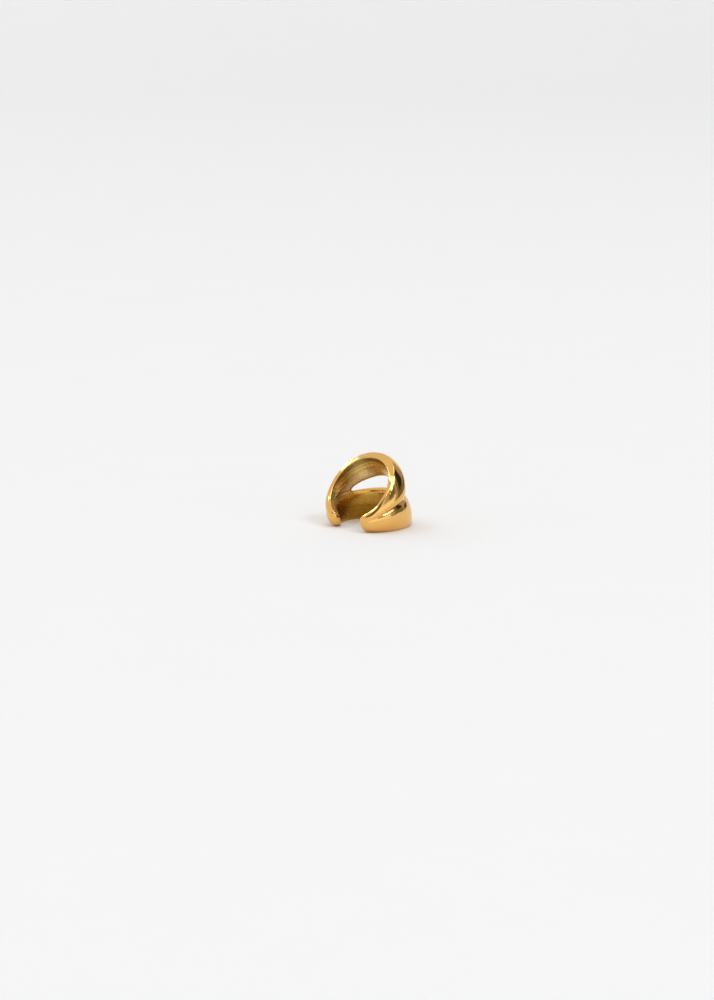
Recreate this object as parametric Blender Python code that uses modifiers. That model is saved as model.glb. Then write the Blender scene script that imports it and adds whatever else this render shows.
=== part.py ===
"""Ear cuff: one cast C of two domed bands side by side, split by a lens-shaped slot at the back."""

import math

import bmesh
import bpy
from mathutils import Matrix, Vector

MM = 0.001

# Hollow that the ear rim sits in, seen along its axis
BORE_HALF_WIDTH = 4.72 * MM
BORE_HALF_DEPTH = 4.40 * MM
TIP_TURN = math.radians(151.0)

# Heights along the axis of the hollow, measured from the middle plane, the slot's greatest
# height, and how far its inner edge climbs towards its ends
TOP_HEIGHT = 5.52 * MM
FLOOR_DROP = 3.38 * MM
SLOT_HEIGHT = 2.48 * MM
SEAM_CLIMB = 0.40 * MM

# Metal: wall at the back, bulge of a dome, share of the wall that lies on the table, and how much
# narrower than the wall the rim is at the sides
WALL = 1.21 * MM
BULGE = 0.86 * MM
LAND_SHARE = 0.78
RIM_NARROWING = 0.20

# Inner faces: their swell and the hollow under the rim, and the distances of both from the slot
# as shares of the band heights
INNER_SWELL = 0.10 * MM
RIM_HOLLOW = 0.12 * MM
UPPER_LIP = 0.30
LOWER_LIP = 0.16
UNDER_RIM = 0.80

# Tips: rounding of the ends, the dome over both bands, and the turn of the end's middle
TIP_ROUND = 1.10 * MM
TIP_BULGE = 0.72 * MM
TIP_FULLNESS = 0.6
TIP_SWELL = math.radians(3.0)

# What the rounding does to the ends, as shares of it: thinner metal, a lower top,
# and a lower edge that lifts outside and more so inside
TIP_THINNING = 0.85
TIP_TOP_DROP = 0.23
LEFT_TIP_LIFT = 0.64
RIGHT_TIP_LIFT = 0.15
INNER_TIP_LIFT = 0.95

# How much of a section's inset its upper lip, seam and foot take
LIP_INSET = 0.15
SEAM_INSET = 0.35
FOOT_INSET = 0.6

# Slot between the bands: turns of its ends from the back, and its lopsided and full shape
SLOT_START = math.radians(-64.0)
SLOT_END = math.radians(63.0)
SLOT_SKEW = 0.45
SLOT_POWER = 0.62

# Lean of the axis, which lays the lower edge flat on the table
LEAN = math.radians(24.1)

# Points across a dome from its upper end: share of the band height and share of the bulge.
# The upper dome's first point bulges more at the back, by its shoulder.
UPPER_DOME = ((0.10, 0.20), (0.54, 1.20), (0.90, 0.74))
SHOULDER = 0.30
LOWER_DOME = ((0.12, 1.12), (0.52, 1.42), (0.92, 0.36))

# Shares of the sizes above from the back to a tip, the same on both sides.
# turn is of TIP_TURN; top and seam of TOP_HEIGHT; wall, groove, inset and flare of WALL;
# upper and lower of BULGE; merge is how far the two domes have run into one.
PROFILE_COLUMNS = ("turn", "top", "seam", "wall", "upper", "lower", "merge", "groove", "inset", "flare")
PROFILE = (
    (0.00, 1.015, -0.082, 1.00, 1.02, 0.62, 0.00, 0.10, 0.00, -0.14),
    (0.20, 0.970, -0.067, 0.94, 1.04, 0.56, 0.00, 0.10, 0.00, -0.12),
    (0.40, 0.808, 0.007, 0.82, 1.08, 0.46, 0.00, 0.30, 0.04, -0.04),
    (0.56, 0.615, 0.092, 0.69, 1.00, 0.50, 0.00, 0.34, 0.12, 0.06),
    (0.70, 0.458, 0.120, 0.62, 0.78, 0.62, 0.12, 0.22, 0.22, 0.12),
    (0.83, 0.288, 0.112, 0.57, 0.56, 0.72, 0.60, 0.08, 0.38, 0.14),
    (1.00, 0.206, 0.064, 0.54, 0.50, 0.80, 1.00, 0.00, 0.56, 0.16),
)

# Sections: their number across the slot, and their places from a slot end to its tip
SLOT_SECTIONS = 10
TIP_SECTIONS = (0.17, 0.34, 0.51, 0.67, 0.83, 0.95, 1.0)

# Faces across the end of a tip from the top down: the inner points that each one runs between
TIP_FACES = ((0, 2), (2, 3), (3, 4), (4, 5))

# Makes up for what the smoothing takes off a ring of straight steps
RING_GAIN = 1.008

# Crease strength along the cuff, and the turn over which the seam's runs out before a tip
RIM_IN_CREASE = 0.42
RIM_OUT_CREASE = 0.80
LAND_CREASE = 0.45
SEAM_CREASE = 0.60
SEAM_FADE = math.radians(60.0)
SLOT_CREASE = 0.24
INNER_SLOT_CREASE = 0.10

LEVELS = 2


def share(column, turn):
    """Smooth value of a profile column at a turn in radians."""
    index = PROFILE_COLUMNS.index(column)
    place = abs(turn) / TIP_TURN
    rows = [(-row[0], row[index]) for row in PROFILE[2:0:-1]]
    rows += [(row[0], row[index]) for row in PROFILE]
    low = max(i for i in range(len(rows) - 1) if rows[i][0] <= place + 1e-9)

    def slope(i):
        before = max(i - 1, 0)
        after = min(i + 1, len(rows) - 1)
        return (rows[after][1] - rows[before][1]) / (rows[after][0] - rows[before][0])

    span = rows[low + 1][0] - rows[low][0]
    t = (place - rows[low][0]) / span
    return (
        (2 * t**3 - 3 * t**2 + 1) * rows[low][1]
        + (t**3 - 2 * t**2 + t) * span * slope(low)
        + (3 * t**2 - 2 * t**3) * rows[low + 1][1]
        + (t**3 - t**2) * span * slope(low + 1)
    )


def slot_place(turn):
    """Place along the slot, from -1 to 1 at its two ends and the same past them."""
    middle = (SLOT_START + SLOT_END) / 2
    return max(-1.0, min(1.0, (turn - middle) / ((SLOT_END - SLOT_START) / 2)))


def slot_gap(turn):
    """Height of the slot at a turn, nothing outside its two ends."""
    along = slot_place(turn)
    return SLOT_HEIGHT * (1 - along**2) ** SLOT_POWER * (1 + SLOT_SKEW * along)


def plan(turn, out):
    """Place in plan this far outside the hollow."""
    x = RING_GAIN * BORE_HALF_WIDTH * math.sin(turn)
    y = RING_GAIN * BORE_HALF_DEPTH * math.cos(turn)
    normal = Vector((BORE_HALF_DEPTH * math.sin(turn), BORE_HALF_WIDTH * math.cos(turn)))
    return Vector((x, y)) + normal.normalized() * out


def point(turn, out, height):
    return plan(turn, out).to_3d() + Vector((0, 0, height))


def foot(turn, out):
    """Point on the plane that lies on the table."""
    spot = plan(turn, out)
    return spot.to_3d() + Vector((0, 0, -FLOOR_DROP - math.tan(LEAN) * spot.y))


def tip_round(turn):
    """How much of the thickness is left at a turn, and how far the lower edge lifts, near a tip."""
    to_go = (TIP_TURN - abs(turn)) * BORE_HALF_WIDTH
    near = max(0.0, 1 - to_go / TIP_ROUND)
    return math.sqrt(1 - TIP_THINNING * near**2), TIP_ROUND * (1 - math.sqrt(1 - near**2))


def section(turn):
    """Loop of one section: upper band, then lower band. A split section has its own slot corners."""
    thin, lift = tip_round(turn)
    wall = thin * WALL * share("wall", turn)
    merge = share("merge", turn)
    inset = -thin * WALL * share("inset", turn)
    flare = thin * WALL * share("flare", turn)
    deep = wall * share("groove", turn) + inset * SEAM_INSET
    top = TOP_HEIGHT * share("top", turn) - TIP_TOP_DROP * lift
    seam = TOP_HEIGHT * share("seam", turn)
    roof = seam + slot_gap(turn)
    climb = (1 - merge) * SEAM_CLIMB * slot_place(turn) ** 2
    outer_lift = lift * (LEFT_TIP_LIFT if turn < 0 else RIGHT_TIP_LIFT)
    inner_lift = outer_lift + lift * INNER_TIP_LIFT
    sole = foot(turn, wall).z + outer_lift

    def skin(height, bulge):
        """Outer point, between its own band's dome and one dome over both bands."""
        across = 2 * (top - height) / (top - sole) - 1
        whole = TIP_BULGE * max(0.0, 1 - across**2) ** TIP_FULLNESS
        return point(turn, wall + (1 - merge) * bulge + thin * merge * whole, height)

    def dome(rows, start, end, bulge):
        return [skin(start + (end - start) * along, bulge * swell) for along, swell in rows]

    rim = wall * (1 - RIM_NARROWING * math.sin(turn) ** 2)
    upper = [point(turn, flare, top), point(turn, rim, top)]
    upper_lip = point(turn, inset * LIP_INSET - INNER_SWELL, roof + UPPER_LIP * (top - roof))
    under_rim = point(turn, flare + thin * RIM_HOLLOW, roof + UNDER_RIM * (top - roof))
    (start, least), *others = UPPER_DOME
    first = (start, least + SHOULDER * max(0.0, math.cos(turn)) ** 2)
    upper += dome([first, *others], top, roof, BULGE * share("upper", turn))
    lower = dome(LOWER_DOME, seam, sole, BULGE * share("lower", turn))
    lower += [foot(turn, wall * LAND_SHARE) + Vector((0, 0, outer_lift))]
    lower += [foot(turn, inset * FOOT_INSET) + Vector((0, 0, inner_lift))]
    return {
        "upper": upper,
        "upper_slot": [skin(roof, 0), point(turn, deep, roof + climb)],
        "upper_lip": [upper_lip, under_rim],
        "lower_slot": [skin(seam, 0), point(turn, deep, seam + climb)],
        "lower": lower,
        "lower_lip": [point(turn, inset - INNER_SWELL, seam + LOWER_LIP * (sole - seam))],
    }


def swollen_end(turn):
    """Section at a tip, turned further at mid height so that the end is round."""
    parts = section(turn)
    heights = [spot.z for spots in parts.values() for spot in spots]
    low = min(heights)
    span = max(heights) - low
    for spots in parts.values():
        for spot in spots:
            level = (spot.z - low) / span
            swell = 4 * level * (1 - level) * TIP_SWELL
            spot.rotate(Matrix.Rotation(-math.copysign(swell, turn), 3, "Z"))
    return parts


def section_turns():
    """Turns of all the sections from the left tip to the right one."""
    left = [SLOT_START - (TIP_TURN + SLOT_START) * along for along in TIP_SECTIONS]
    right = [SLOT_END + (TIP_TURN - SLOT_END) * along for along in TIP_SECTIONS]
    step = (SLOT_END - SLOT_START) / SLOT_SECTIONS
    middle = [SLOT_START + step * i for i in range(1, SLOT_SECTIONS)]
    return left[::-1] + [SLOT_START] + middle + [SLOT_END] + right


def build_cage():
    """Closed cage of the cuff with its creases, standing on the table."""
    cage = bmesh.new()
    crease = cage.edges.layers.float.new("crease_edge")
    turns = section_turns()
    loops = []
    for turn in turns:
        split = SLOT_START < turn < SLOT_END
        parts = swollen_end(turn) if turn in (turns[0], turns[-1]) else section(turn)
        loop = {
            name: [cage.verts.new(spot) for spot in spots]
            for name, spots in parts.items()
            if split or name != "upper_slot"
        }
        if not split:
            loop["upper_slot"] = loop["lower_slot"]
        loops.append(loop)

    # Bands: each is a ring of points that starts and ends at the slot
    def upper_ring(loop):
        return [loop["upper_slot"][1]] + loop["upper_lip"] + loop["upper"] + [loop["upper_slot"][0]]

    def lower_ring(loop):
        return [loop["lower_slot"][0]] + loop["lower"] + loop["lower_lip"] + [loop["lower_slot"][1]]

    for index in range(len(loops) - 1):
        here = loops[index]
        there = loops[index + 1]
        for ring in (upper_ring, lower_ring):
            near = ring(here)
            far = ring(there)
            for i in range(len(near) - 1):
                cage.faces.new((near[i], near[i + 1], far[i + 1], far[i]))
        if max(turns[index], SLOT_START) < min(turns[index + 1], SLOT_END):
            for name, order in (("upper_slot", 1), ("lower_slot", -1)):
                near = here[name]
                far = there[name]
                cage.faces.new((near[0], near[1], far[1], far[0])[::order])

    # Tips: each face across an end also takes in three outer points
    for loop, order in ((loops[0], -1), (loops[-1], 1)):
        outer = loop["upper"][1:] + [loop["lower_slot"][0]] + loop["lower"][:-1]
        inner = [loop["upper"][0], *loop["upper_lip"][::-1], loop["lower_slot"][1]]
        inner += [loop["lower_lip"][0], loop["lower"][-1]]
        for i, (first, last) in enumerate(TIP_FACES):
            face = inner[first : last + 1][::-1] + outer[2 * i : 2 * i + 3]
            cage.faces.new(face[::order])

    # Creases run along the cuff and fade with the seam
    for index in range(len(loops) - 1):
        here = loops[index]
        there = loops[index + 1]
        middle = (turns[index] + turns[index + 1]) / 2
        split = SLOT_START < middle < SLOT_END
        fade = min(1.0, max(0.0, (TIP_TURN - abs(middle)) / SEAM_FADE))
        seam = SLOT_CREASE if split else SEAM_CREASE * fade
        inner_seam = INNER_SLOT_CREASE if split else SEAM_CREASE * fade
        strengths = [
            ("upper", 0, RIM_IN_CREASE),
            ("upper", 1, RIM_OUT_CREASE),
            ("lower", 3, LAND_CREASE),
            ("lower", 4, LAND_CREASE),
            ("lower_slot", 0, seam),
            ("lower_slot", 1, inner_seam),
            ("upper_slot", 0, seam),
            ("upper_slot", 1, inner_seam),
        ]
        for name, place, strength in strengths:
            edge = cage.edges.get((here[name][place], there[name][place]))
            edge[crease] = strength

    bmesh.ops.recalc_face_normals(cage, faces=cage.faces)
    for face in cage.faces:
        face.smooth = True
    cage.transform(Matrix.Rotation(LEAN, 4, "X"))
    cage.transform(Matrix.Translation((0, 0, FLOOR_DROP * math.cos(LEAN))))
    return cage


def gold():
    material = bpy.data.materials.new("polished_gold")
    material.use_nodes = True
    shader = material.node_tree.nodes["Principled BSDF"]
    shader.inputs["Base Color"].default_value = (0.86, 0.58, 0.26, 1)
    shader.inputs["Metallic"].default_value = 1.0
    shader.inputs["Roughness"].default_value = 0.12
    return material


def clear_scene():
    for item in list(bpy.data.objects):
        bpy.data.objects.remove(item, do_unlink=True)


def main():
    clear_scene()
    mesh = bpy.data.meshes.new("ear_cuff")
    cage = build_cage()
    cage.to_mesh(mesh)
    cage.free()
    mesh.materials.append(gold())
    cuff = bpy.data.objects.new("ear_cuff", mesh)
    group = bpy.data.collections.new("ear_cuff")
    bpy.context.scene.collection.children.link(group)
    group.objects.link(cuff)

    rounding = cuff.modifiers.new("rounding", "SUBSURF")
    rounding.levels = LEVELS
    rounding.render_levels = LEVELS

    # The middle of the outline lies over the origin
    evaluated = cuff.evaluated_get(bpy.context.evaluated_depsgraph_get())
    spots = [vertex.co.copy() for vertex in evaluated.to_mesh().vertices]
    across = [(min(spot[i] for spot in spots) + max(spot[i] for spot in spots)) / 2 for i in (0, 1)]
    lowest = min(spot.z for spot in spots)
    mesh.transform(Matrix.Translation((-across[0], -across[1], -lowest)))


main()
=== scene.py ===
"""Looks of the ear cuff: polished gold on a pale sweep under soft studio light."""

import math

import bmesh
import bpy
from mathutils import Matrix, Vector


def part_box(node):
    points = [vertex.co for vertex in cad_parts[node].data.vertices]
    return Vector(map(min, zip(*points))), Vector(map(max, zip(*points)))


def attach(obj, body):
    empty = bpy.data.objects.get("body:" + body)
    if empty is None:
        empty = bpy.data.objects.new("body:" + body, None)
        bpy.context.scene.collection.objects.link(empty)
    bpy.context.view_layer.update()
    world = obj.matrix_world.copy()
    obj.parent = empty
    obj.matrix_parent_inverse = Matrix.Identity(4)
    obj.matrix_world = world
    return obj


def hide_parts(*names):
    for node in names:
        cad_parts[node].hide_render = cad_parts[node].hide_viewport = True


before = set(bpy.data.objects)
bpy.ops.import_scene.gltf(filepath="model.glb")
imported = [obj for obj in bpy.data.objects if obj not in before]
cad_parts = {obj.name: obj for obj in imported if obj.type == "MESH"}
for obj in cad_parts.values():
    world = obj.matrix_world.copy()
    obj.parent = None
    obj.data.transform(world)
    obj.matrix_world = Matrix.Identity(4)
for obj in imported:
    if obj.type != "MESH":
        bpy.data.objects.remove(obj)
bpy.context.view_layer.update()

MM = 0.001

# Hollow that the ear rim sits in, seen along its axis
BORE_HALF_WIDTH = 4.72 * MM
BORE_HALF_DEPTH = 4.40 * MM
TIP_TURN = math.radians(151.0)

# Heights along the axis of the hollow, measured from the middle plane, the slot's greatest
# height, and how far its inner edge climbs towards its ends
TOP_HEIGHT = 5.52 * MM
FLOOR_DROP = 3.38 * MM
SLOT_HEIGHT = 2.48 * MM
SEAM_CLIMB = 0.40 * MM

# Metal: wall at the back, bulge of a dome, share of the wall that lies on the table, and how much
# narrower than the wall the rim is at the sides
WALL = 1.21 * MM
BULGE = 0.86 * MM
LAND_SHARE = 0.78
RIM_NARROWING = 0.20

# Inner faces: their swell and the hollow under the rim, and the distances of both from the slot
# as shares of the band heights
INNER_SWELL = 0.10 * MM
RIM_HOLLOW = 0.12 * MM
UPPER_LIP = 0.30
LOWER_LIP = 0.16
UNDER_RIM = 0.80

# Tips: rounding of the ends, the dome over both bands, and the turn of the end's middle
TIP_ROUND = 1.10 * MM
TIP_BULGE = 0.72 * MM
TIP_FULLNESS = 0.6
TIP_SWELL = math.radians(3.0)

# What the rounding does to the ends, as shares of it: thinner metal, a lower top,
# and a lower edge that lifts outside and more so inside
TIP_THINNING = 0.85
TIP_TOP_DROP = 0.23
LEFT_TIP_LIFT = 0.64
RIGHT_TIP_LIFT = 0.15
INNER_TIP_LIFT = 0.95

# How much of a section's inset its upper lip, seam and foot take
LIP_INSET = 0.15
SEAM_INSET = 0.35
FOOT_INSET = 0.6

# Slot between the bands: turns of its ends from the back, and its lopsided and full shape
SLOT_START = math.radians(-64.0)
SLOT_END = math.radians(63.0)
SLOT_SKEW = 0.45
SLOT_POWER = 0.62

# Lean of the axis, which lays the lower edge flat on the table
LEAN = math.radians(24.1)

# Points across a dome from its upper end: share of the band height and share of the bulge.
# The upper dome's first point bulges more at the back, by its shoulder.
UPPER_DOME = ((0.10, 0.20), (0.54, 1.20), (0.90, 0.74))
SHOULDER = 0.30
LOWER_DOME = ((0.12, 1.12), (0.52, 1.42), (0.92, 0.36))

# Shares of the sizes above from the back to a tip, the same on both sides.
# turn is of TIP_TURN; top and seam of TOP_HEIGHT; wall, groove, inset and flare of WALL;
# upper and lower of BULGE; merge is how far the two domes have run into one.
PROFILE_COLUMNS = ("turn", "top", "seam", "wall", "upper", "lower", "merge", "groove", "inset", "flare")
PROFILE = (
    (0.00, 1.015, -0.082, 1.00, 1.02, 0.62, 0.00, 0.10, 0.00, -0.14),
    (0.20, 0.970, -0.067, 0.94, 1.04, 0.56, 0.00, 0.10, 0.00, -0.12),
    (0.40, 0.808, 0.007, 0.82, 1.08, 0.46, 0.00, 0.30, 0.04, -0.04),
    (0.56, 0.615, 0.092, 0.69, 1.00, 0.50, 0.00, 0.34, 0.12, 0.06),
    (0.70, 0.458, 0.120, 0.62, 0.78, 0.62, 0.12, 0.22, 0.22, 0.12),
    (0.83, 0.288, 0.112, 0.57, 0.56, 0.72, 0.60, 0.08, 0.38, 0.14),
    (1.00, 0.206, 0.064, 0.54, 0.50, 0.80, 1.00, 0.00, 0.56, 0.16),
)

# Sections: their number across the slot, and their places from a slot end to its tip
SLOT_SECTIONS = 10
TIP_SECTIONS = (0.17, 0.34, 0.51, 0.67, 0.83, 0.95, 1.0)

# Faces across the end of a tip from the top down: the inner points that each one runs between
TIP_FACES = ((0, 2), (2, 3), (3, 4), (4, 5))

# Makes up for what the smoothing takes off a ring of straight steps
RING_GAIN = 1.008

# Crease strength along the cuff, and the turn over which the seam's runs out before a tip
RIM_IN_CREASE = 0.42
RIM_OUT_CREASE = 0.80
LAND_CREASE = 0.45
SEAM_CREASE = 0.60
SEAM_FADE = math.radians(60.0)
SLOT_CREASE = 0.24
INNER_SLOT_CREASE = 0.10

# Rounds of smoothing in the frame's node and in the finer form
CAD_LEVELS = 2
LEVELS = 4

# Camera, fitted to the photograph: the cuff's axis where it meets the floor is at AXIS_RIGHT and
# AXIS_DOWN in the image, and PIXEL is the size of one of its pixels there
IMAGE_WIDTH = 714
IMAGE_HEIGHT = 1000
PIXEL = 0.145 * MM
LENS = 100.0
SENSOR = 36.0
VIEW_TURN = math.radians(41.02)
VIEW_DROP = math.radians(11.96)
AXIS_RIGHT = 365.8
AXIS_DOWN = 526.2
CLIP_START = 0.01
CLIP_END = 20.0

# How squarely a surface faces the hollow where it starts to be the inside's, and where it wholly is
INSIDE_FROM = 0.55
INSIDE_TO = 0.90

# Noises: the values that most of a noise lies between, and each one's scale per metre and detail
NOISE_LOW = 0.3
NOISE_HIGH = 0.7
DRIFT = (260.0, 4.0)
HAZE = (900.0, 5.0)
WAVES = (900.0, 2.0)
LINES = (2600.0, 3.0)
GRAIN = (5200.0, 3.0)

# Gold: its tones and roughness outside, what lines and grain take off the inside's tones, the
# inside's roughness, and the bumps
OUTSIDE_TONES = ((NOISE_LOW, (0.81, 0.455, 0.125)), (NOISE_HIGH, (0.89, 0.525, 0.16)))
OUTSIDE_ROUGHNESS = (0.05, 0.11)
LINE_TONES = ((NOISE_LOW, (0.74, 0.70, 0.60)), (NOISE_HIGH, (1.0, 1.0, 1.0)))
LINE_STRETCH = (0.08, 0.08, 1)
GRAIN_TONES = ((NOISE_LOW, (0.80, 0.77, 0.70)), (NOISE_HIGH, (1.0, 1.0, 1.0)))
INSIDE_ROUGHNESS = (0.24, 0.34)
TONE_DRIFT = 0.02
WAVE_STRENGTH = 0.35
WAVE_DEPTH = 0.1 * MM
PIT_DEPTH = 0.02 * MM

# Tones of the inside, which are painted shade and painted reflections, from the foot at 0, past the
# slot or seam in the middle, to the rim at 1: darker overall than the outside, dark above the foot, at
# the slot or seam and under the rim, with painted bright lines between
INSIDE_SHADE_AND_REFLECTION_TONES = (
    (0.00, (0.76, 0.46, 0.10)),
    (0.05, (0.56, 0.31, 0.035)),
    (0.25, (0.54, 0.295, 0.035)),
    (0.33, (0.74, 0.44, 0.08)),
    (0.47, (0.78, 0.47, 0.10)),
    (0.50, (0.60, 0.36, 0.08)),
    (0.54, (0.74, 0.51, 0.17)),
    (0.62, (0.98, 0.74, 0.37)),
    (0.72, (0.92, 0.66, 0.29)),
    (0.78, (0.64, 0.44, 0.14)),
    (0.81, (0.94, 0.68, 0.30)),
    (0.84, (0.62, 0.42, 0.13)),
    (0.87, (0.80, 0.55, 0.20)),
    (0.90, (0.45, 0.30, 0.08)),
    (0.96, (0.43, 0.29, 0.08)),
    (1.00, (0.82, 0.54, 0.18)),
)

# Sweep under and behind the cuff, of pale paper with a faint grain
PAPER_SHADE = 0.91
PAPER_CONTRAST = 0.006
PAPER_GRAIN = (60.0, 3.0)
PAPER_ROUGHNESS = 0.9
SWEEP_NEAR = 1.2
SWEEP_FAR = 1.1
SWEEP_RADIUS = 1.2
SWEEP_HEIGHT = 2.0
SWEEP_HALF_WIDTH = 1.6
SWEEP_STEPS = 24

# Soft boxes: bearing from the camera's side towards its right and height angle in degrees,
# distance, width and height in metres, and power in watts
LIGHT_COLUMNS = ("name", "bearing", "height", "distance", "wide", "tall", "power")
LIGHTS = (
    ("front_box", 55.0, 50.0, 2.4, 1.38, 0.45, 11.7),
    ("top_box", -12.0, 61.0, 2.4, 1.50, 0.15, 4.0),
    ("left_box", -80.0, 57.0, 2.4, 0.78, 0.18, 2.7),
    ("back_box", -140.0, 31.0, 2.1, 0.72, 0.12, 1.6),
)

# Brightness of the room around the cuff, and its brighter and darker sides, each over the ones
# before it: bearings and height angles from and to, the angle over which its edges are soft, and
# the level inside
ROOM = 0.84
SHADE_COLUMNS = ("left", "right", "low", "high", "soft", "level")
SHADES = (
    (-180.0, 180.0, 80.0, 100.0, 4.0, 2.6),
    (-25.0, 66.0, -10.0, 28.0, 10.0, 1.14),
    (-2.0, 66.0, 28.0, 52.0, 8.0, 0.5),
    (26.0, 92.0, 30.0, 42.0, 8.0, 0.18),
    (-60.0, -20.0, 20.0, 54.0, 12.0, 0.13),
    (66.0, 150.0, -10.0, 62.0, 10.0, 0.44),
    (80.0, 116.0, -10.0, 54.0, 6.0, 0.21),
    (91.0, 114.0, 20.0, 50.0, 4.0, 0.03),
    (120.0, 149.0, -10.0, 13.0, 4.0, 0.08),
)


def share(column, turn):
    """Smooth value of a profile column at a turn in radians."""
    index = PROFILE_COLUMNS.index(column)
    place = abs(turn) / TIP_TURN
    rows = [(-row[0], row[index]) for row in PROFILE[2:0:-1]]
    rows += [(row[0], row[index]) for row in PROFILE]
    low = max(i for i in range(len(rows) - 1) if rows[i][0] <= place + 1e-9)

    def slope(i):
        before = max(i - 1, 0)
        after = min(i + 1, len(rows) - 1)
        return (rows[after][1] - rows[before][1]) / (rows[after][0] - rows[before][0])

    span = rows[low + 1][0] - rows[low][0]
    t = (place - rows[low][0]) / span
    return (
        (2 * t**3 - 3 * t**2 + 1) * rows[low][1]
        + (t**3 - 2 * t**2 + t) * span * slope(low)
        + (3 * t**2 - 2 * t**3) * rows[low + 1][1]
        + (t**3 - t**2) * span * slope(low + 1)
    )


def slot_place(turn):
    """Place along the slot, from -1 to 1 at its two ends and the same past them."""
    middle = (SLOT_START + SLOT_END) / 2
    return max(-1.0, min(1.0, (turn - middle) / ((SLOT_END - SLOT_START) / 2)))


def slot_gap(turn):
    """Height of the slot at a turn, nothing outside its two ends."""
    along = slot_place(turn)
    return SLOT_HEIGHT * (1 - along**2) ** SLOT_POWER * (1 + SLOT_SKEW * along)


def plan(turn, out):
    """Place in plan this far outside the hollow."""
    x = RING_GAIN * BORE_HALF_WIDTH * math.sin(turn)
    y = RING_GAIN * BORE_HALF_DEPTH * math.cos(turn)
    normal = Vector((BORE_HALF_DEPTH * math.sin(turn), BORE_HALF_WIDTH * math.cos(turn)))
    return Vector((x, y)) + normal.normalized() * out


def point(turn, out, height):
    return plan(turn, out).to_3d() + Vector((0, 0, height))


def foot(turn, out):
    """Point on the plane that lies on the table."""
    spot = plan(turn, out)
    return spot.to_3d() + Vector((0, 0, -FLOOR_DROP - math.tan(LEAN) * spot.y))


def tip_round(turn):
    """How much of the thickness is left at a turn, and how far the lower edge lifts, near a tip."""
    to_go = (TIP_TURN - abs(turn)) * BORE_HALF_WIDTH
    near = max(0.0, 1 - to_go / TIP_ROUND)
    return math.sqrt(1 - TIP_THINNING * near**2), TIP_ROUND * (1 - math.sqrt(1 - near**2))


def section(turn):
    """Loop of one section: upper band, then lower band. A split section has its own slot corners."""
    thin, lift = tip_round(turn)
    wall = thin * WALL * share("wall", turn)
    merge = share("merge", turn)
    inset = -thin * WALL * share("inset", turn)
    flare = thin * WALL * share("flare", turn)
    deep = wall * share("groove", turn) + inset * SEAM_INSET
    top = TOP_HEIGHT * share("top", turn) - TIP_TOP_DROP * lift
    seam = TOP_HEIGHT * share("seam", turn)
    roof = seam + slot_gap(turn)
    climb = (1 - merge) * SEAM_CLIMB * slot_place(turn) ** 2
    outer_lift = lift * (LEFT_TIP_LIFT if turn < 0 else RIGHT_TIP_LIFT)
    inner_lift = outer_lift + lift * INNER_TIP_LIFT
    sole = foot(turn, wall).z + outer_lift

    def skin(height, bulge):
        """Outer point, between its own band's dome and one dome over both bands."""
        across = 2 * (top - height) / (top - sole) - 1
        whole = TIP_BULGE * max(0.0, 1 - across**2) ** TIP_FULLNESS
        return point(turn, wall + (1 - merge) * bulge + thin * merge * whole, height)

    def dome(rows, start, end, bulge):
        return [skin(start + (end - start) * along, bulge * swell) for along, swell in rows]

    rim = wall * (1 - RIM_NARROWING * math.sin(turn) ** 2)
    upper = [point(turn, flare, top), point(turn, rim, top)]
    upper_lip = point(turn, inset * LIP_INSET - INNER_SWELL, roof + UPPER_LIP * (top - roof))
    under_rim = point(turn, flare + thin * RIM_HOLLOW, roof + UNDER_RIM * (top - roof))
    (start, least), *others = UPPER_DOME
    first = (start, least + SHOULDER * max(0.0, math.cos(turn)) ** 2)
    upper += dome([first, *others], top, roof, BULGE * share("upper", turn))
    lower = dome(LOWER_DOME, seam, sole, BULGE * share("lower", turn))
    lower += [foot(turn, wall * LAND_SHARE) + Vector((0, 0, outer_lift))]
    lower += [foot(turn, inset * FOOT_INSET) + Vector((0, 0, inner_lift))]
    return {
        "upper": upper,
        "upper_slot": [skin(roof, 0), point(turn, deep, roof + climb)],
        "upper_lip": [upper_lip, under_rim],
        "lower_slot": [skin(seam, 0), point(turn, deep, seam + climb)],
        "lower": lower,
        "lower_lip": [point(turn, inset - INNER_SWELL, seam + LOWER_LIP * (sole - seam))],
    }


def swollen_end(turn):
    """Section at a tip, turned further at mid height so that the end is round."""
    parts = section(turn)
    heights = [spot.z for spots in parts.values() for spot in spots]
    low = min(heights)
    span = max(heights) - low
    for spots in parts.values():
        for spot in spots:
            level = (spot.z - low) / span
            swell = 4 * level * (1 - level) * TIP_SWELL
            spot.rotate(Matrix.Rotation(-math.copysign(swell, turn), 3, "Z"))
    return parts


def section_turns():
    """Turns of all the sections from the left tip to the right one."""
    left = [SLOT_START - (TIP_TURN + SLOT_START) * along for along in TIP_SECTIONS]
    right = [SLOT_END + (TIP_TURN - SLOT_END) * along for along in TIP_SECTIONS]
    step = (SLOT_END - SLOT_START) / SLOT_SECTIONS
    middle = [SLOT_START + step * i for i in range(1, SLOT_SECTIONS)]
    return left[::-1] + [SLOT_START] + middle + [SLOT_END] + right


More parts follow.
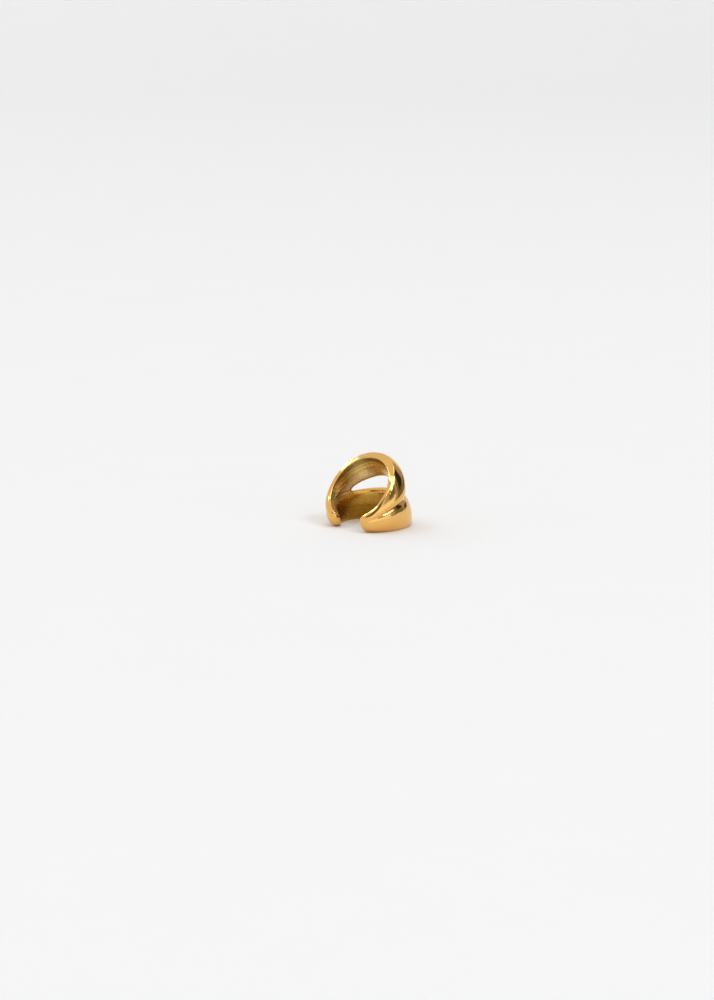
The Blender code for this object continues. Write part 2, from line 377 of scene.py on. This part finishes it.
def build_cage():
    """Closed cage of the cuff with its creases, standing on the table."""
    cage = bmesh.new()
    crease = cage.edges.layers.float.new("crease_edge")
    turns = section_turns()
    loops = []
    for turn in turns:
        split = SLOT_START < turn < SLOT_END
        parts = swollen_end(turn) if turn in (turns[0], turns[-1]) else section(turn)
        loop = {
            name: [cage.verts.new(spot) for spot in spots]
            for name, spots in parts.items()
            if split or name != "upper_slot"
        }
        if not split:
            loop["upper_slot"] = loop["lower_slot"]
        loops.append(loop)

    # Bands: each is a ring of points that starts and ends at the slot
    def upper_ring(loop):
        return [loop["upper_slot"][1]] + loop["upper_lip"] + loop["upper"] + [loop["upper_slot"][0]]

    def lower_ring(loop):
        return [loop["lower_slot"][0]] + loop["lower"] + loop["lower_lip"] + [loop["lower_slot"][1]]

    for index in range(len(loops) - 1):
        here = loops[index]
        there = loops[index + 1]
        for ring in (upper_ring, lower_ring):
            near = ring(here)
            far = ring(there)
            for i in range(len(near) - 1):
                cage.faces.new((near[i], near[i + 1], far[i + 1], far[i]))
        if max(turns[index], SLOT_START) < min(turns[index + 1], SLOT_END):
            for name, order in (("upper_slot", 1), ("lower_slot", -1)):
                near = here[name]
                far = there[name]
                cage.faces.new((near[0], near[1], far[1], far[0])[::order])

    # Tips: each face across an end also takes in three outer points
    for loop, order in ((loops[0], -1), (loops[-1], 1)):
        outer = loop["upper"][1:] + [loop["lower_slot"][0]] + loop["lower"][:-1]
        inner = [loop["upper"][0], *loop["upper_lip"][::-1], loop["lower_slot"][1]]
        inner += [loop["lower_lip"][0], loop["lower"][-1]]
        for i, (first, last) in enumerate(TIP_FACES):
            face = inner[first : last + 1][::-1] + outer[2 * i : 2 * i + 3]
            cage.faces.new(face[::order])

    # Creases run along the cuff and fade with the seam
    for index in range(len(loops) - 1):
        here = loops[index]
        there = loops[index + 1]
        middle = (turns[index] + turns[index + 1]) / 2
        split = SLOT_START < middle < SLOT_END
        fade = min(1.0, max(0.0, (TIP_TURN - abs(middle)) / SEAM_FADE))
        seam = SLOT_CREASE if split else SEAM_CREASE * fade
        inner_seam = INNER_SLOT_CREASE if split else SEAM_CREASE * fade
        strengths = [
            ("upper", 0, RIM_IN_CREASE),
            ("upper", 1, RIM_OUT_CREASE),
            ("lower", 3, LAND_CREASE),
            ("lower", 4, LAND_CREASE),
            ("lower_slot", 0, seam),
            ("lower_slot", 1, inner_seam),
            ("upper_slot", 0, seam),
            ("upper_slot", 1, inner_seam),
        ]
        for name, place, strength in strengths:
            edge = cage.edges.get((here[name][place], there[name][place]))
            edge[crease] = strength

    bmesh.ops.recalc_face_normals(cage, faces=cage.faces)
    for face in cage.faces:
        face.smooth = True
    cage.transform(Matrix.Rotation(LEAN, 4, "X"))
    cage.transform(Matrix.Translation((0, 0, FLOOR_DROP * math.cos(LEAN))))
    return cage


def fit_to_frame(spots):
    """Scaling, within a thousandth, that keeps the finer form inside the frame's box."""
    low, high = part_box("ear_cuff")
    shares = []
    for i in range(3):
        reach = max(abs(spot[i]) for spot in spots)
        shares.append(min(1.0, min(abs(high[i]), abs(low[i]) or high[i]) / reach))
    return Matrix.Diagonal((*shares, 1.0))


def finer_cuff():
    """The same cast form as the frame's node with finer rounding, in its place."""
    mesh = bpy.data.meshes.new("cuff_cage")
    cage = build_cage()
    cage.to_mesh(mesh)
    cage.free()
    rough = bpy.data.objects.new("cuff_cage", mesh)
    bpy.context.scene.collection.objects.link(rough)
    rounding = rough.modifiers.new("rounding", "SUBSURF")
    rounding.levels = CAD_LEVELS
    evaluated = rough.evaluated_get(bpy.context.evaluated_depsgraph_get())
    spots = [vertex.co.copy() for vertex in evaluated.to_mesh().vertices]
    across = [(min(spot[i] for spot in spots) + max(spot[i] for spot in spots)) / 2 for i in (0, 1)]
    lowest = min(spot.z for spot in spots)
    place = Vector((-across[0], -across[1], -lowest))
    mesh.transform(Matrix.Translation(place))
    rounding.levels = LEVELS
    graph = bpy.context.evaluated_depsgraph_get()
    smooth = bpy.data.meshes.new_from_object(rough.evaluated_get(graph), depsgraph=graph)
    bpy.data.objects.remove(rough, do_unlink=True)
    smooth.transform(fit_to_frame([vertex.co for vertex in smooth.vertices]))
    cuff = bpy.data.objects.new("cuff_skin", smooth)
    bpy.context.scene.collection.objects.link(cuff)
    return cuff, place


def node(tree, kind, links=None, **values):
    """New node with its inputs set, by name, to values or to other outputs."""
    made = tree.nodes.new(kind)
    for name, value in values.items():
        setattr(made, name, value)
    for name, value in (links or {}).items():
        if isinstance(value, bpy.types.NodeSocket):
            tree.links.new(value, made.inputs[name])
        else:
            made.inputs[name].default_value = value
    return made


def band_place(spot):
    """Place across the bands, from 0 at the foot past 0.5 at the slot or seam to 1 at the rim."""
    turn = math.atan2(spot.x / BORE_HALF_WIDTH, spot.y / BORE_HALF_DEPTH)
    turn = max(-TIP_TURN, min(TIP_TURN, turn))
    seam = TOP_HEIGHT * share("seam", turn)
    roof = seam + slot_gap(turn)
    if spot.z > roof:
        return 0.5 + 0.5 * (spot.z - roof) / (TOP_HEIGHT * share("top", turn) - roof)
    return 0.5 + 0.5 * min(0.0, (spot.z - seam) / (seam - foot(turn, 0).z))


def mark_inside(mesh, place):
    """Stores on each point how far it is the inside's, from 0 to 1, and its place across."""
    upright = Matrix.Rotation(-LEAN, 3, "X")
    inside = mesh.attributes.new("inside", "FLOAT", "POINT")
    # The place across steers where the inside's painted shade and painted reflections fall.
    band = mesh.attributes.new("band", "FLOAT", "POINT")
    lift = Vector((0, 0, FLOOR_DROP * math.cos(LEAN)))
    for vertex in mesh.vertices:
        spot = upright @ (vertex.co - place - lift)
        facing = upright @ vertex.normal
        outward = Vector((spot.x, spot.y)).normalized()
        inward = -outward.dot(Vector((facing.x, facing.y)))
        facing_share = (inward - INSIDE_FROM) / (INSIDE_TO - INSIDE_FROM)
        inside.data[vertex.index].value = min(1.0, max(0.0, facing_share))
        if inward > 0:
            band.data[vertex.index].value = band_place(spot)


def math_node(tree, operation, *values):
    """Output of a Math node with its inputs set to values or to other outputs."""
    made = node(tree, "ShaderNodeMath", operation=operation)
    for socket, value in zip(made.inputs, values):
        if isinstance(value, bpy.types.NodeSocket):
            tree.links.new(value, socket)
        else:
            socket.default_value = value
    return made.outputs["Value"]


def noise(tree, where, kind):
    """Value of a noise at a place, for a kind's scale and detail."""
    scale, detail = kind
    links = {"Vector": where, "Scale": scale, "Detail": detail}
    return node(tree, "ShaderNodeTexNoise", links).outputs["Fac"]


def ramp(tree, fac, tones):
    """Colour that follows a value through tones, each with its place."""
    made = node(tree, "ShaderNodeValToRGB", {"Fac": fac})
    stops = made.color_ramp.elements
    for _ in tones[2:]:
        stops.new(1.0)
    for stop, (place, tone) in zip(stops, tones):
        stop.position = place
        stop.color = (*tone, 1)
    return made.outputs["Color"]


def spread(tree, fac, low, high):
    """The middle of a noise, spread from one value to another."""
    limits = {"From Min": NOISE_LOW, "From Max": NOISE_HIGH, "To Min": low, "To Max": high}
    return node(tree, "ShaderNodeMapRange", {"Value": fac, **limits}).outputs["Result"]


def mixed(tree, fac, first, second, way="MIX"):
    """Mix of two colours by an output or a plain number."""
    made = node(tree, "ShaderNodeMix", {0: fac}, data_type="RGBA", blend_type=way)
    tree.links.new(first, made.inputs[6])
    tree.links.new(second, made.inputs[7])
    return made.outputs[2]


def mixed_number(tree, fac, first, second):
    """Mix of two numbers by an output."""
    made = tree.nodes.new("ShaderNodeMix")
    tree.links.new(fac, made.inputs[0])
    tree.links.new(first, made.inputs[2])
    tree.links.new(second, made.inputs[3])
    return made.outputs[0]


def gold():
    """Mirror-bright outside, and an inside with painted shade and painted reflections across the bands,
    darker overall, times random lines and grain along the bands.
    """
    material = bpy.data.materials.new("polished_gold")
    material.use_nodes = True
    tree = material.node_tree
    shader = tree.nodes["Principled BSDF"]
    shader.inputs["Metallic"].default_value = 1.0
    where = tree.nodes.new("ShaderNodeTexCoord").outputs["Object"]
    inside = node(tree, "ShaderNodeAttribute", attribute_name="inside").outputs["Fac"]
    along = {"Vector": where, "Rotation": (-LEAN, 0, 0), "Scale": LINE_STRETCH}
    drift = noise(tree, where, DRIFT)
    haze = noise(tree, where, HAZE)
    grain = noise(tree, where, GRAIN)
    lines = noise(tree, node(tree, "ShaderNodeMapping", along).outputs["Vector"], LINES)

    outside_tint = ramp(tree, drift, OUTSIDE_TONES)
    lined_tint = ramp(tree, lines, LINE_TONES)
    grainy_tint = ramp(tree, grain, GRAIN_TONES)
    worn_tint = mixed(tree, drift, lined_tint, grainy_tint)
    # The inside's tint is painted shade and painted reflections that follow the place across the bands,
    # times random lines and grain.
    band = node(tree, "ShaderNodeAttribute", attribute_name="band").outputs["Fac"]
    across = math_node(tree, "ADD", band, spread(tree, drift, -TONE_DRIFT, TONE_DRIFT))
    inside_shade_and_grain_tint = mixed(tree, 1.0, ramp(tree, across, INSIDE_SHADE_AND_REFLECTION_TONES), worn_tint, "MULTIPLY")
    tree.links.new(mixed(tree, inside, outside_tint, inside_shade_and_grain_tint), shader.inputs["Base Color"])

    outside_rough = spread(tree, haze, *OUTSIDE_ROUGHNESS)
    inside_rough = spread(tree, grain, *INSIDE_ROUGHNESS)
    tree.links.new(mixed_number(tree, inside, outside_rough, inside_rough), shader.inputs["Roughness"])

    swell = noise(tree, where, WAVES)
    waves = {"Height": swell, "Strength": WAVE_STRENGTH, "Distance": WAVE_DEPTH}
    waved = node(tree, "ShaderNodeBump", waves).outputs["Normal"]
    pits = {"Height": grain, "Strength": inside, "Distance": PIT_DEPTH, "Normal": waved}
    pitted = node(tree, "ShaderNodeBump", pits).outputs["Normal"]
    tree.links.new(pitted, shader.inputs["Normal"])
    return material


def paper():
    material = bpy.data.materials.new("pale_paper")
    material.use_nodes = True
    tree = material.node_tree
    shader = tree.nodes["Principled BSDF"]
    shader.inputs["Roughness"].default_value = PAPER_ROUGHNESS
    where = tree.nodes.new("ShaderNodeTexCoord").outputs["Object"]
    dark = (PAPER_SHADE - PAPER_CONTRAST,) * 3
    light = (PAPER_SHADE + PAPER_CONTRAST,) * 3
    tone = ramp(tree, noise(tree, where, PAPER_GRAIN), ((0.0, dark), (1.0, light)))
    tree.links.new(tone, shader.inputs["Base Color"])
    return material


def sweep(view):
    """Pale floor that curves up into a backdrop behind the cuff, turned to face the camera."""
    mesh = bpy.data.meshes.new("sweep")
    form = bmesh.new()
    line = [(-SWEEP_NEAR, 0.0)]
    line += [
        (SWEEP_FAR + SWEEP_RADIUS * math.sin(a), SWEEP_RADIUS * (1 - math.cos(a)))
        for a in (math.radians(90.0 * i / SWEEP_STEPS) for i in range(SWEEP_STEPS + 1))
    ]
    line.append((SWEEP_FAR + SWEEP_RADIUS, SWEEP_HEIGHT))
    rows = [[form.verts.new((side * SWEEP_HALF_WIDTH, y, z)) for side in (-1, 1)] for y, z in line]
    for near, far in zip(rows, rows[1:]):
        form.faces.new((near[0], near[1], far[1], far[0])).smooth = True
    form.transform(view)
    form.to_mesh(mesh)
    form.free()
    mesh.materials.append(paper())
    backdrop = bpy.data.objects.new("sweep", mesh)
    bpy.context.scene.collection.objects.link(backdrop)


def bearing_vector(bearing, height):
    """Unit vector at a bearing from the camera's side towards its right, and a height angle."""
    turn = math.radians(bearing)
    rise = math.radians(height)
    return Vector((math.sin(turn) * math.cos(rise), -math.cos(turn) * math.cos(rise), math.sin(rise)))


def soft_box(view, row):
    """Area light that faces the cuff."""
    values = dict(zip(LIGHT_COLUMNS, row))
    lamp = bpy.data.lights.new(values["name"], "AREA")
    lamp.shape = "RECTANGLE"
    lamp.size = values["wide"]
    lamp.size_y = values["tall"]
    lamp.energy = values["power"]
    holder = bpy.data.objects.new(values["name"], lamp)
    bpy.context.scene.collection.objects.link(holder)
    direction = view.to_3x3() @ bearing_vector(values["bearing"], values["height"])
    holder.location = direction * values["distance"]
    holder.rotation_euler = (-direction).to_track_quat("-Z", "Y").to_euler()


def camera(view, place):
    """Camera at the photograph's side of the cuff, above the floor."""
    distance = LENS / SENSOR * IMAGE_HEIGHT * PIXEL
    tilt = VIEW_DROP - math.atan((AXIS_DOWN - IMAGE_HEIGHT / 2) * PIXEL / distance)
    forward = view.to_3x3() @ Vector((0, math.cos(tilt), -math.sin(tilt)))
    right = view.to_3x3() @ Vector((1, 0, 0))
    up = right.cross(forward)
    lens = bpy.data.cameras.new("camera")
    lens.lens = LENS
    lens.sensor_width = SENSOR
    lens.clip_start = CLIP_START
    lens.clip_end = CLIP_END
    holder = bpy.data.objects.new("camera", lens)
    bpy.context.scene.collection.objects.link(holder)
    turn = Matrix((right, up, -forward)).transposed().to_4x4()
    across = right * ((AXIS_RIGHT - IMAGE_WIDTH / 2) * PIXEL)
    down = up * ((AXIS_DOWN - IMAGE_HEIGHT / 2) * PIXEL)
    turn.translation = Vector((place.x, place.y, 0)) - across + down - forward * distance
    holder.matrix_world = turn
    bpy.context.scene.camera = holder


def step(tree, angle, edge, soft, inner):
    """From 0 to 1 across a soft edge, or from 1 to 0 where inner is below it."""
    limits = {
        "Value": angle,
        "From Min": edge - soft / 2,
        "From Max": edge + soft / 2,
        "To Min": 1.0 - inner,
        "To Max": inner,
    }
    return node(tree, "ShaderNodeMapRange", limits, interpolation_type="SMOOTHSTEP").outputs["Result"]


def studio():
    """Soft light from all round, with darker sides to the room."""
    sky = bpy.data.worlds.new("studio")
    bpy.context.scene.world = sky
    sky.use_nodes = True
    tree = sky.node_tree
    toward = tree.nodes.new("ShaderNodeTexCoord").outputs["Generated"]
    turned = node(
        tree, "ShaderNodeVectorRotate", {"Vector": toward, "Angle": -VIEW_TURN}, rotation_type="Z_AXIS"
    )
    parts = node(tree, "ShaderNodeSeparateXYZ", {"Vector": turned.outputs["Vector"]}).outputs
    back = math_node(tree, "MULTIPLY", parts["Y"], -1.0)
    bearing = math_node(tree, "DEGREES", math_node(tree, "ARCTAN2", parts["X"], back))
    height = math_node(tree, "DEGREES", math_node(tree, "ARCSINE", parts["Z"]))
    level = None
    for row in SHADES:
        values = dict(zip(SHADE_COLUMNS, row))
        soft = values["soft"]
        inside = math_node(
            tree,
            "MULTIPLY",
            step(tree, bearing, values["left"], soft, 1.0),
            step(tree, bearing, values["right"], soft, 0.0),
        )
        inside = math_node(tree, "MULTIPLY", inside, step(tree, height, values["low"], soft, 1.0))
        inside = math_node(tree, "MULTIPLY", inside, step(tree, height, values["high"], soft, 0.0))
        shade = node(tree, "ShaderNodeMix")
        tree.links.new(inside, shade.inputs[0])
        if level is None:
            shade.inputs[2].default_value = ROOM
        else:
            tree.links.new(level, shade.inputs[2])
        shade.inputs[3].default_value = values["level"]
        level = shade.outputs[0]
    background = tree.nodes["Background"]
    background.inputs["Color"].default_value = (1, 1, 1, 1)
    tree.links.new(level, background.inputs["Strength"])


cuff, place = finer_cuff()
cuff.data.materials.clear()
cuff.data.materials.append(gold())
mark_inside(cuff.data, place)
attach(cuff, "root")
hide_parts("ear_cuff")

view = Matrix.Rotation(VIEW_TURN, 4, "Z")
sweep(view)
camera(view, place)
studio()
for row in LIGHTS:
    soft_box(view, row)
bpy.context.scene.view_settings.view_transform = "Standard"
